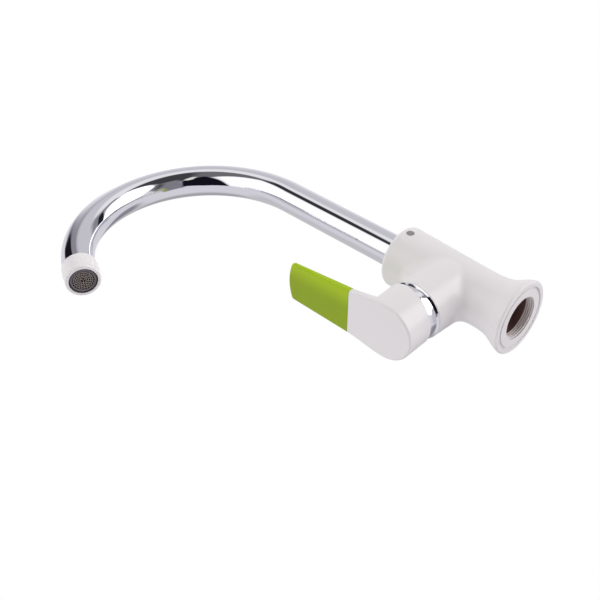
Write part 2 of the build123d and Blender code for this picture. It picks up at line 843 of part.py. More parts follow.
# The collar's section stands on the outlet's face, with a slight belly and a rounded lower edge
collar_bore = aerator_radius + running_gap
collar_socket = tube_radius + collar_gap
with BuildPart() as collar:
    with BuildSketch(outlet_section):
        with BuildLine():
            face = Line((collar_bore, 0), (collar_face_radius - collar_edge, 0))
            lower_edge = CenterArc((collar_face_radius - collar_edge, collar_edge), collar_edge, -90, 90)
            belly = ThreePointArc(
                lower_edge @ 1,
                (collar_belly_radius, collar_belly),
                (collar_top_radius, collar_length - tiny_chamfer),
            )
            Polyline(
                belly @ 1,
                (collar_top_radius - tiny_chamfer, collar_length),
                (collar_socket, collar_length),
                (collar_socket, -ledge),
                (collar_bore, -ledge),
                face @ 0,
            )
        make_face()
    revolve(axis=outlet_axis)
save(collar, "outlet_collar")

with BuildPart() as washer:
    with BuildSketch(outlet.offset(bush_end)):
        Circle(tube_radius)
        Circle(bush_bore, mode=Mode.SUBTRACT)
    extrude(amount=washer_thickness)
save(washer, "outlet_washer")

insert_radius = aerator_radius - aerator_wall
with BuildPart() as aerator_housing:
    add(
        revolved_about_outlet(
            [
                (insert_radius, washer_end),
                (tube_radius, washer_end),
                (tube_radius, ledge),
                (aerator_radius, ledge),
                (aerator_radius, -aerator_recess),
                (insert_radius, -aerator_recess),
            ]
        )
    )
save(aerator_housing, "aerator_housing")

with BuildPart() as aerator_insert:
    add(
        revolved_about_outlet(
            [
                (grid_radius, -aerator_recess - aerator_depth),
                (insert_radius - running_gap, -aerator_recess - aerator_depth),
                (insert_radius - running_gap, -aerator_recess - insert_drop),
                (grid_radius, -aerator_recess - insert_drop),
            ]
        )
    )
save(aerator_insert, "aerator_insert")

# Perforated outlet grid: rings of square holes round a middle boss
grid_start = -aerator_recess - insert_drop - grid_drop - grid_thickness
with BuildPart() as grid:
    with BuildSketch(outlet.offset(grid_start)):
        Circle(grid_radius - running_gap)
        for ring in range(1, grid_rings + 1):
            ring_radius = grid_boss_radius + (ring - 0.5) * grid_pitch
            with PolarLocations(ring_radius, grid_ring_holes * ring):
                Rectangle(grid_hole, grid_hole, mode=Mode.SUBTRACT)
    extrude(amount=grid_thickness)
    with BuildSketch(outlet.offset(grid_start + grid_thickness)):
        Circle(grid_boss_radius)
    extrude(amount=grid_drop)
save(grid, "aerator_grid")

with BuildPart() as screens:
    for layer in range(screen_layers):
        station = -aerator_recess - aerator_depth + layer * screen_spacing
        with BuildSketch(outlet.offset(station)):
            Circle(grid_radius - running_gap)
            with GridLocations(screen_pitch, screen_pitch, screen_cells, screen_cells):
                Rectangle(screen_hole, screen_hole, mode=Mode.SUBTRACT)
        extrude(amount=screen_thickness)
save(screens, "aerator_screens")
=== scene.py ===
import json
from math import pi, radians

import bmesh
import bpy
import numpy as np
from mathutils import Matrix, Vector


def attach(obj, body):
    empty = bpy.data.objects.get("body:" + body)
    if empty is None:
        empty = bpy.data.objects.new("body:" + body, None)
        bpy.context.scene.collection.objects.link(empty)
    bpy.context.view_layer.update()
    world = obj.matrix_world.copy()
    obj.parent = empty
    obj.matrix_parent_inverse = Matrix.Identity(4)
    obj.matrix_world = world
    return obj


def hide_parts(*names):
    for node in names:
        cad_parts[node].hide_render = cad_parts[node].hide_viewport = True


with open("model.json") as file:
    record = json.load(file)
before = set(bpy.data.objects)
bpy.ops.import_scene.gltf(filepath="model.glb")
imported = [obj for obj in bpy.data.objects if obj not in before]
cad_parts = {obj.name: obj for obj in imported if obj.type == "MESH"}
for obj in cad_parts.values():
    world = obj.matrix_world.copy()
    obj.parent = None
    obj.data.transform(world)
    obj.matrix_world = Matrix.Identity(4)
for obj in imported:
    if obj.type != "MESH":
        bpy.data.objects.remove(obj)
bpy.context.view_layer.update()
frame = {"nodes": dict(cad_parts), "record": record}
mm = 0.001
print("frame loaded:", len(frame["nodes"]), "nodes")


# An sRGB hex colour as the linear numbers that a shader uses
def linearColour(hexText):
    channels = [int(hexText[place:place + 2], 16) / 255 for place in (1, 3, 5)]
    bent = [c / 12.92 if c <= 0.04045 else ((c + 0.055) / 1.055) ** 2.4 for c in channels]
    return (*bent, 1.0)


# Adds one node. Each input takes a value, a socket, or a node, which stands for its first output
def addNode(tree, kind, settings=None, inputs=None):
    node = tree.nodes.new(kind)
    for name, value in (settings or {}).items():
        setattr(node, name, value)
    for name, value in (inputs or {}).items():
        if isinstance(value, bpy.types.Node):
            value = value.outputs[0]
        if isinstance(value, bpy.types.NodeSocket):
            tree.links.new(value, node.inputs[name])
        else:
            node.inputs[name].default_value = value
    return node


# A material with one Principled shader. Returns it with its tree, its shader and its Object coordinates
def startMaterial(name, shaderInputs):
    material = bpy.data.materials.new(name)
    material.use_nodes = True
    tree = material.node_tree
    tree.nodes.clear()
    shader = addNode(tree, "ShaderNodeBsdfPrincipled", inputs=shaderInputs)
    addNode(tree, "ShaderNodeOutputMaterial", inputs={"Surface": shader})
    place = addNode(tree, "ShaderNodeTexCoord").outputs["Object"]
    return material, tree, shader, place


# Two close colours, mixed by a noise of the given size
def mottle(tree, shader, place, colours, sizeMm):
    first, second = (linearColour(colour) for colour in colours)
    noise = addNode(
        tree, "ShaderNodeTexNoise", inputs={"Vector": place, "Scale": 1 / (sizeMm * mm), "Detail": 2.0}
    )
    mix = addNode(tree, "ShaderNodeMix", {"data_type": "RGBA"}, {0: noise, 6: first, 7: second})
    tree.links.new(mix.outputs[2], shader.inputs["Base Color"])
    return mix.outputs[2]


# A fine raised grain, depthMm high
def grain(tree, shader, place, sizeMm, depthMm):
    noise = addNode(
        tree, "ShaderNodeTexNoise", inputs={"Vector": place, "Scale": 1 / (sizeMm * mm), "Detail": 2.0}
    )
    bump = addNode(tree, "ShaderNodeBump", inputs={"Distance": depthMm * mm, "Height": noise})
    tree.links.new(bump.outputs["Normal"], shader.inputs["Normal"])


# Roughness that wanders between two values over patches of the given size
def smudge(tree, shader, place, low, high, sizeMm):
    noise = addNode(
        tree, "ShaderNodeTexNoise", inputs={"Vector": place, "Scale": 1 / (sizeMm * mm), "Detail": 4.0}
    )
    spread = addNode(tree, "ShaderNodeMapRange", inputs={"Value": noise, "To Min": low, "To Max": high})
    tree.links.new(spread.outputs["Result"], shader.inputs["Roughness"])


# White baked lacquer on cast zinc or brass: satin, with a faint orange peel that softens its highlights.
# Its roughness wanders over patches as wide as smudgeMm
lacquer = {
    "colours": ("#efebec", "#e9e5e6"),
    "patchMm": 60.0,
    "shader": {"IOR": 1.5, "Coat Weight": 0.15, "Coat Roughness": 0.12},
    "roughness": (0.3, 0.38),
    "smudgeMm": 15.0,
    "peelMm": 2.4,
    "peelDepthMm": 0.0012,
}

# The foot's bore is unpainted: pale from its mouth to the top of the thread, and dark brown above that, up to
# the roof
bareBore = {
    "radiusMm": 15.95,
    "mouthMm": 0.25,
    "threadMm": 6.5,
    "roofMm": 37.0,
    "threadZonePale": "#aca1a0",
    "deepBoreBrown": "#785b58",
}


def whiteLacquer(name, withBore):
    material, tree, shader, place = startMaterial(name, lacquer["shader"])
    paint = mottle(tree, shader, place, lacquer["colours"], lacquer["patchMm"])
    smudge(tree, shader, place, *lacquer["roughness"], lacquer["smudgeMm"])
    grain(tree, shader, place, lacquer["peelMm"], lacquer["peelDepthMm"])
    if not withBore:
        return material
    flat = addNode(tree, "ShaderNodeVectorMath", {"operation": "MULTIPLY"}, {0: place, 1: (1.0, 1.0, 0.0)})
    radius = addNode(tree, "ShaderNodeVectorMath", {"operation": "LENGTH"}, {0: flat}).outputs["Value"]
    height = addNode(tree, "ShaderNodeSeparateXYZ", inputs={"Vector": place}).outputs["Z"]
    tests = {
        "radiusMm": ("LESS_THAN", radius),
        "mouthMm": ("GREATER_THAN", height),
        "roofMm": ("LESS_THAN", height),
        "threadMm": ("GREATER_THAN", height),
    }
    passed = {
        limit: addNode(tree, "ShaderNodeMath", {"operation": test}, {0: length, 1: bareBore[limit] * mm})
        for limit, (test, length) in tests.items()
    }
    inside = passed["radiusMm"]
    for limit in ("mouthMm", "roofMm"):
        inside = addNode(tree, "ShaderNodeMath", {"operation": "MULTIPLY"}, {0: inside, 1: passed[limit]})
    # The bore's colour goes by height alone: pale below threadMm, dark brown above it
    cut, deepBrown = linearColour(bareBore["threadZonePale"]), linearColour(bareBore["deepBoreBrown"])
    bare = addNode(tree, "ShaderNodeMix", {"data_type": "RGBA"}, {0: passed["threadMm"], 6: cut, 7: deepBrown})
    whole = addNode(tree, "ShaderNodeMix", {"data_type": "RGBA"}, {0: inside, 6: paint, 7: bare.outputs[2]})
    tree.links.new(whole.outputs[2], shader.inputs["Base Color"])
    return material


# Bright chrome plate on polished brass: a mirror with a cool cast and hardly any haze
chrome = {"colours": ("#e2e2e8", "#dddde4"), "patchMm": 40.0, "roughness": (0.02, 0.05), "smudgeMm": 20.0}


def polishedChrome():
    material, tree, shader, place = startMaterial("polishedChromePlate", {"Metallic": 1.0})
    mottle(tree, shader, place, chrome["colours"], chrome["patchMm"])
    smudge(tree, shader, place, *chrome["roughness"], chrome["smudgeMm"])
    return material


# Finishes that are two close colours, one sheen and a grain (size and height in mm).
# The real grains are finer, and these are as coarse as they need to be to show
grained = {
    # Turned brass: warm and bright, with fine marks left by the tool
    "turnedBrass": {
        "colours": ("#c6a25a", "#b8924c"),
        "patchMm": 12.0,
        "shader": {"Metallic": 1.0, "Roughness": 0.28},
        "grain": (0.4, 0.01),
    },
    # Stainless steel as machined: grey and slightly dull, so it shows only broad lights
    "machinedStainlessSteel": {
        "colours": ("#a09da0", "#8d8a8e"),
        "patchMm": 3.0,
        "shader": {"Metallic": 1.0, "Roughness": 0.36},
        "grain": (0.25, 0.006),
    },
    # Lapped alumina: a hard off-white that is almost glossy, with no grain to see
    "lappedAlumina": {
        "colours": ("#ece8de", "#e4dfd2"),
        "patchMm": 8.0,
        "shader": {"IOR": 1.76, "Roughness": 0.16},
    },
    # Moulded acetals: dull and even, with the fine grain of the mould
    "mouldedIvoryAcetal": {
        "colours": ("#e3dfd0", "#dad5c4"),
        "patchMm": 5.0,
        "shader": {"IOR": 1.48, "Roughness": 0.42},
        "grain": (0.5, 0.004),
    },
    "mouldedBlackAcetal": {
        "colours": ("#19191c", "#222226"),
        "patchMm": 5.0,
        "shader": {"IOR": 1.48, "Roughness": 0.38},
        "grain": (0.5, 0.004),
    },
    "mouldedGreyAcetal": {
        "colours": ("#6f6972", "#625c65"),
        "patchMm": 5.0,
        "shader": {"IOR": 1.48, "Roughness": 0.45},
        "grain": (0.5, 0.004),
    },
    # The cap over the lock screw: plain grey plastic, as dull as the acetals
    "mouldedGreyCap": {
        "colours": ("#918c8d", "#878283"),
        "patchMm": 6.0,
        "shader": {"IOR": 1.48, "Roughness": 0.5},
        "grain": (0.6, 0.004),
    },
    # Nitrile rubber: nearly black and matt
    "nitrileRubber": {
        "colours": ("#1a1a1b", "#242425"),
        "patchMm": 4.0,
        "shader": {"IOR": 1.48, "Roughness": 0.62},
        "grain": (0.4, 0.004),
    },
    # The lever's plug: pale and glossy
    "glossyGreyPlug": {
        "colours": ("#cfcfd2", "#c4c4c8"),
        "patchMm": 9.0,
        "shader": {"IOR": 1.48, "Roughness": 0.2},
        "grain": (0.9, 0.004),
    },
    # Bare casting metal cut by a tap: a dull pinkish grey whose crests are paler than its roots
    "bareCastingMetal": {
        "colours": ("#f0e8e7", "#e4dad9"),
        "patchMm": 4.0,
        "shader": {"Roughness": 0.55},
        "grain": (0.3, 0.01),
    },
}


def grainedFinish(name):
    look = grained[name]
    material, tree, shader, place = startMaterial(name, look["shader"])
    mottle(tree, shader, place, look["colours"], look["patchMm"])
    if "grain" in look:
        grain(tree, shader, place, *look["grain"])
    return material


# Lime green silicone: matt and soft, and paler towards the side where the photograph's light falls on it.
# Its grain is drawn coarser than the mould's own, so that it shows
silicone = {
    "colours": ("#93ad12", "#8da610"),
    "patchMm": 14.0,
    "shader": {"IOR": 1.42, "Roughness": 0.42, "Specular IOR Level": 0.35},
    "paleFlank": "#aac812",
    "flankMm": (0.0, 17.0),
    "grainMm": 0.35,
    "grainDepthMm": 0.006,
}


def greenSilicone():
    material, tree, shader, place = startMaterial("limeGreenSilicone", silicone["shader"])
    green = mottle(tree, shader, place, silicone["colours"], silicone["patchMm"])
    side = addNode(tree, "ShaderNodeSeparateXYZ", inputs={"Vector": place}).outputs["X"]
    low, high = (edge * mm for edge in silicone["flankMm"])
    share = addNode(
        tree,
        "ShaderNodeMapRange",
        {"interpolation_type": "SMOOTHSTEP"},
        {"Value": side, "From Min": low, "From Max": high},
    )
    pale = linearColour(silicone["paleFlank"])
    mix = addNode(tree, "ShaderNodeMix", {"data_type": "RGBA"}, {0: share, 6: green, 7: pale})
    tree.links.new(mix.outputs[2], shader.inputs["Base Color"])
    grain(tree, shader, place, silicone["grainMm"], silicone["grainDepthMm"])
    return material


# Puts one material on an object in place of whatever it had
def dress(piece, material):
    piece.data.materials.clear()
    piece.data.materials.append(material)


materials = {
    "white_lacquer": whiteLacquer("whiteSatinLacquer", False),
    "polished_chrome": polishedChrome(),
    "bare_brass": grainedFinish("turnedBrass"),
    "stainless_steel": grainedFinish("machinedStainlessSteel"),
    "alumina_ceramic": grainedFinish("lappedAlumina"),
    "ivory_acetal": grainedFinish("mouldedIvoryAcetal"),
    "black_acetal": grainedFinish("mouldedBlackAcetal"),
    "grey_acetal": grainedFinish("mouldedGreyAcetal"),
    "black_rubber": grainedFinish("nitrileRubber"),
    "green_silicone": greenSilicone(),
    "grey_plug_plastic": grainedFinish("glossyGreyPlug"),
}

# A node whose finish differs from the rest of its slot
ownFinish = {"body_casting": whiteLacquer("whiteSatinLacquerBareBore", True)}

for entry in frame["record"]["subparts"]:
    node, slot = entry["node"], entry["material_slot"]
    dress(frame["nodes"][node], ownFinish.get(node, materials[slot]))
print("materials on the CAD nodes:", len(materials) + len(ownFinish))


# An object of the given name, in the scene. It stays at the origin, and its place is in its data
def pieceOf(name, data):
    piece = bpy.data.objects.new(name, data)
    bpy.context.scene.collection.objects.link(piece)
    return piece


# Shank thread: a ridge that winds up the foot's bore
thread = {
    "pitchMm": 1.5,
    "rootRadiusMm": 15.78,
    "crestRadiusMm": 14.95,
    "lowMm": 0.7,
    "highMm": 6.4,
    "rootHalfMm": 0.6,
    "crestHalfMm": 0.2,
    "fadeTurns": 0.35,
    "leastFade": 0.02,
    "stepsPerTurn": 96,
}


# A helix carries a four-point trapezoid whose crest sinks to its root over the first and last part turn
def threadMesh():
    t = thread
    turns = (t["highMm"] - t["lowMm"]) / t["pitchMm"]
    steps = int(turns * t["stepsPerTurn"])
    along = np.linspace(0, turns, steps + 1)
    fade = np.clip(np.minimum(along, turns - along) / t["fadeTurns"], t["leastFade"], 1)
    height = t["lowMm"] + along * t["pitchMm"]
    crest = t["rootRadiusMm"] - fade * (t["rootRadiusMm"] - t["crestRadiusMm"])
    root = np.full_like(along, t["rootRadiusMm"])
    radii = np.stack([root, crest, crest, root], axis=1)
    offsets = np.array([-t["rootHalfMm"], -t["crestHalfMm"], t["crestHalfMm"], t["rootHalfMm"]])
    heights = height[:, None] + offsets[None, :]
    angle = 2 * pi * along[:, None]
    points = np.stack([radii * np.cos(angle), radii * np.sin(angle), heights], axis=2).reshape(-1, 3) * mm
    corners = offsets.size
    rows = np.arange(steps)[:, None] * corners
    near = rows + np.arange(corners)[None, :]
    far = rows + (np.arange(corners)[None, :] + 1) % corners
    quads = np.stack([near, far, far + corners, near + corners], axis=2).reshape(-1, 4)
    ends = [list(range(corners))[::-1], list(range(steps * corners, (steps + 1) * corners))]
    mesh = bpy.data.meshes.new("shankThread")
    mesh.from_pydata(points.tolist(), [], quads.tolist() + ends)
    mesh.update()
    return mesh


shankThread = pieceOf("shank_thread", threadMesh())
dress(shankThread, grainedFinish("bareCastingMetal"))
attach(shankThread, "body")
print("shank thread:", len(shankThread.data.polygons), "faces")


# Two unit vectors, square to a unit axis and to each other
def acrossAxis(axis):
    side = np.cross(axis, (0.0, 0.0, 1.0))
    side /= np.linalg.norm(side)
    return side, np.cross(axis, side)


# Closed profile of (along, radius) points, in millimetres, carried round an axis as a smooth turned surface
def turnedMesh(name, profile, origin, axis, segments, creaseDegrees=24):
    axis = np.array(axis, float)
    side, other = acrossAxis(axis)
    profile = np.array(profile)
    angle = np.linspace(0, 2 * pi, segments, endpoint=False)
    outward = np.cos(angle)[:, None] * side + np.sin(angle)[:, None] * other
    points = profile[None, :, 0:1] * axis + profile[None, :, 1:2] * outward[:, None, :]
    points = (points.reshape(-1, 3) + np.array(origin)) * mm
    count = len(profile)
    here = np.arange(segments)[:, None] * count + np.arange(count)[None, :]
    ahead = np.roll(here, -1, axis=0)
    ring = [here, np.roll(here, -1, axis=1), np.roll(ahead, -1, axis=1), ahead]
    mesh = bpy.data.meshes.new(name)
    mesh.from_pydata(points.tolist(), [], np.stack(ring, axis=2).reshape(-1, 4).tolist())
    shell = bmesh.new()
    shell.from_mesh(mesh)
    bmesh.ops.remove_doubles(shell, verts=shell.verts, dist=0.001 * mm)  # closes the pole of a solid end
    bmesh.ops.recalc_face_normals(shell, faces=shell.faces)
    shell.to_mesh(mesh)
    shell.free()
    mesh.shade_smooth()
    mesh.set_sharp_from_angle(angle=radians(creaseDegrees))
    return mesh


# Chrome ring between body and lever: a bevelled foot under a dome centred on the lever's pivot
coverRing = {
    "origin": (0, 0, 54.8),
    "axis": (0, -1, 0),
    "pivotMm": 46.5,
    "footMm": 42.9,
    "footRadiusMm": 20.9,
    "footEdgeMm": 0.06,
    "footTaperMm": 0.02,
    "bevelStartMm": 42.98,
    "bevelEndMm": 44.6,
    "domeRadiusMm": 19.95,
    "wallMm": 1.3,
    "noseMm": 55.6,
    "mouthRadiusMm": 14.4,
    "domeSteps": 40,
    "segments": 192,
}


# Distance from the axis on a circle of the given radius about the pivot
def domeRadius(along, radius):
    return np.sqrt(radius**2 - (along - coverRing["pivotMm"]) ** 2)


# The profile runs out over the bevel and the dome, across the nose, and back along the dome's inner side
def ringProfile():
    c = coverRing
    outer = np.linspace(c["bevelEndMm"], c["noseMm"], c["domeSteps"])
    inner = np.linspace(c["noseMm"] - c["wallMm"], c["footMm"], c["domeSteps"])
    innerRadius = c["domeRadiusMm"] - c["wallMm"]
    foot = [
        (c["footMm"], c["footRadiusMm"] - c["footEdgeMm"]),
        (c["footMm"] + c["footEdgeMm"], c["footRadiusMm"]),
        (c["bevelStartMm"], c["footRadiusMm"] - c["footTaperMm"]),
    ]
    dome = list(zip(outer, domeRadius(outer, c["domeRadiusMm"])))
    nose = [(c["noseMm"], c["mouthRadiusMm"]), (c["noseMm"] - c["wallMm"], c["mouthRadiusMm"])]
    return foot + dome + nose + list(zip(inner, domeRadius(inner, innerRadius)))


ringMesh = turnedMesh(
    "cover_ring", ringProfile(), coverRing["origin"], coverRing["axis"], coverRing["segments"]
)
ring = pieceOf("cover_ring", ringMesh)
dress(ring, materials["polished_chrome"])
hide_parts("cartridge_cover")
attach(ring, "body")

# Pressed-in plug over the spout's lock screw: a low dome that stands just proud of the column
screwCap = {
    "origin": (0, 0, 95.1),
    "axis": (1, 0, 0),
    "seatMm": 22.3,
    "proudMm": 0.5,
    "radiusMm": 2.9,
    "domeMm": 0.18,
    "edgeMm": 0.22,
    "domeSteps": 10,
    "edgeSteps": 5,
    "segments": 64,
}


# The dome falls with the square of the distance from its middle, and a quarter circle rounds its edge
def capProfile():
    c = screwCap
    top = c["seatMm"] + c["proudMm"]
    flat = c["radiusMm"] - c["edgeMm"]
    radius = np.linspace(0, flat, c["domeSteps"])
    dome = list(zip(top - c["domeMm"] * (radius / c["radiusMm"]) ** 2, radius))
    quarter = np.linspace(0, pi / 2, c["edgeSteps"] + 1)[1:]
    level = dome[-1][0] - c["edgeMm"]
    edge = list(zip(level + c["edgeMm"] * np.cos(quarter), flat + c["edgeMm"] * np.sin(quarter)))
    return dome + edge + [(c["seatMm"], c["radiusMm"]), (c["seatMm"], 0.0)]


capMesh = turnedMesh(
    "lock_screw_cap", capProfile(), screwCap["origin"], screwCap["axis"], screwCap["segments"]
)
cap = pieceOf("lock_screw_cap", capMesh)
dress(cap, grainedFinish("mouldedGreyCap"))
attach(cap, "body")

# Outlet grid: round webs that stand a little proud of the spokes between them, with holes painted dark as
# shade.
# Its depths run along the flow, from the outlet's face
outletGrid = {
    "faceCentreMm": (0.0, -177.628, 238.435),
    "flow": (0.0, -0.441506, -0.897258),
    "frontMm": -1.3,
    "webDepthMm": 0.8,
    "webWidthMm": 0.4,
    "webRadiiMm": (2.15, 3.62, 5.1, 6.58),
    "rimRadiiMm": (7.75, 7.88),
    "webSegments": 96,
    "spokeCounts": (3, 10, 15, 20, 24),
    "spokeWidthMm": 0.42,
    "spokeDropMm": 0.12,
    "spokeBiteMm": 0.1,
    "shader": {"IOR": 1.48, "Roughness": 0.5},
    "colours": ("#9a8e89", "#8b7f7a"),
    "patchMm": 5.0,
    # Painted shade: everything more than shadeMm behind the front faces takes this dark colour
    "shade": "#1f1b1a",
    "shadeMm": 0.2,
}


# Rectangles of (depth, radius) carried round for the webs, and turned boxes for the spokes, all in one mesh
def gridMesh():
    g = outletGrid
    front, back = g["frontMm"], g["frontMm"] - g["webDepthMm"]
    bands = [(radius - g["webWidthMm"] / 2, radius + g["webWidthMm"] / 2) for radius in g["webRadiiMm"]]
    bands.append(g["rimRadiiMm"])
    flow = np.array(g["flow"])
    side, other = acrossAxis(flow)
    starts = [g["spokeBiteMm"]] + [outer for _, outer in bands[:-1]]
    ends = [inner for inner, _ in bands]
    leans = np.array([-1, -1, 1, 1]) * g["spokeWidthMm"] / 2
    boxes = []
    for count, start, end in zip(g["spokeCounts"], starts, ends):
        angle = np.arange(count) * 2 * pi / count
        out = np.cos(angle)[:, None] * side + np.sin(angle)[:, None] * other
        near, far = start - g["spokeBiteMm"], end + g["spokeBiteMm"]
        reach = np.array([near, far, far, near])
        slab = reach[None, :, None] * out[:, None, :] + leans[None, :, None] * np.cross(flow, out)[:, None, :]
        boxes.append(np.concatenate([slab + (front - g["spokeDropMm"]) * flow, slab + back * flow], axis=1))
    points = (np.concatenate(boxes).reshape(-1, 3) + np.array(g["faceCentreMm"])) * mm
    faces = np.array([(0, 1, 2, 3), (7, 6, 5, 4), (0, 4, 5, 1), (1, 5, 6, 2), (2, 6, 7, 3), (3, 7, 4, 0)])
    quads = (np.arange(len(points) // 8)[:, None, None] * 8 + faces[None]).reshape(-1, 4)
    mesh = bpy.data.meshes.new("outletGrid")
    mesh.from_pydata(points.tolist(), [], quads.tolist())
    whole = bmesh.new()
    whole.from_mesh(mesh)
    for low, high in bands:
        profile = [(front, low), (front, high), (back, high), (back, low)]
        web = turnedMesh("web", profile, g["faceCentreMm"], flow, g["webSegments"])
        whole.from_mesh(web)
        bpy.data.meshes.remove(web)
    bmesh.ops.recalc_face_normals(whole, faces=whole.faces)
    whole.to_mesh(mesh)
    whole.free()
    return mesh


# Grey brown acetal whose holes are painted dark as shade: only the outer faces of webs and spokes are pale
def gridPlastic():
    g = outletGrid
    material, tree, shader, place = startMaterial("mouldedBrownAcetal", g["shader"])
    pale = mottle(tree, shader, place, g["colours"], g["patchMm"])
    depth = addNode(tree, "ShaderNodeVectorMath", {"operation": "DOT_PRODUCT"}, {0: place, 1: g["flow"]})
    faceMm = float(np.dot(g["faceCentreMm"], g["flow"]))
    limit = (faceMm + g["frontMm"] - g["shadeMm"]) * mm
    outer = addNode(
        tree, "ShaderNodeMath", {"operation": "GREATER_THAN"}, {0: depth.outputs["Value"], 1: limit}
    )
    # Painted shade in the holes, by depth along the flow
    shade = linearColour(g["shade"])
    mix = addNode(tree, "ShaderNodeMix", {"data_type": "RGBA"}, {0: outer, 6: shade, 7: pale})
    tree.links.new(mix.outputs[2], shader.inputs["Base Color"])
    return material


grid = pieceOf("outlet_grid", gridMesh())
dress(grid, gridPlastic())
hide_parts("aerator_grid")
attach(grid, "spout")
print("outlet grid:", len(grid.data.polygons), "faces")
print("turned pieces:", len(ring.data.polygons) + len(cap.data.polygons), "faces")


# Pale floor just under the foot. It shows from above only, so the photograph's view from below stays clear
floorPlan = {"colour": "#f2f1f1", "half": 1.5, "drop": 0.0004}


def paleFloor():
    material = bpy.data.materials.new("paleStudioFloor")
    material.use_nodes = True
    tree = material.node_tree
    tree.nodes.clear()
    paint = addNode(tree, "ShaderNodeBsdfDiffuse", inputs={"Color": linearColour(floorPlan["colour"])})
    clear = addNode(tree, "ShaderNodeBsdfTransparent")
    rays = addNode(tree, "ShaderNodeLightPath").outputs["Is Camera Ray"]
    behind = addNode(tree, "ShaderNodeNewGeometry").outputs["Backfacing"]
    front = addNode(tree, "ShaderNodeMath", {"operation": "SUBTRACT"}, {0: 1.0, 1: behind})
    shown = addNode(tree, "ShaderNodeMath", {"operation": "MULTIPLY"}, {0: rays, 1: front})
    mix = addNode(tree, "ShaderNodeMixShader", inputs={0: shown, 1: clear, 2: paint})
    addNode(tree, "ShaderNodeOutputMaterial", inputs={"Surface": mix})
    return material


half, level = floorPlan["half"], -floorPlan["drop"]
floorCorners = [(-half, -half, level), (half, -half, level), (half, half, level), (-half, half, level)]
floorMesh = bpy.data.meshes.new("studioFloor")
floorMesh.from_pydata(floorCorners, [], [(0, 1, 2, 3)])
floor = pieceOf("studio_floor", floorMesh)
dress(floor, paleFloor())


# The studio round the part. Its cards are laid out in degrees on a disc whose middle is one fixed direction
studioPlan = {
    "middle": (0.6160333, -0.5652562, -0.5486241),
    "right": (0.0030403, 0.6981719, -0.7159237),
    "down": (-0.7877143, -0.4393649, -0.4318157),
    "room": "#ebeaee",
    "roomStrength": 1.0,
}

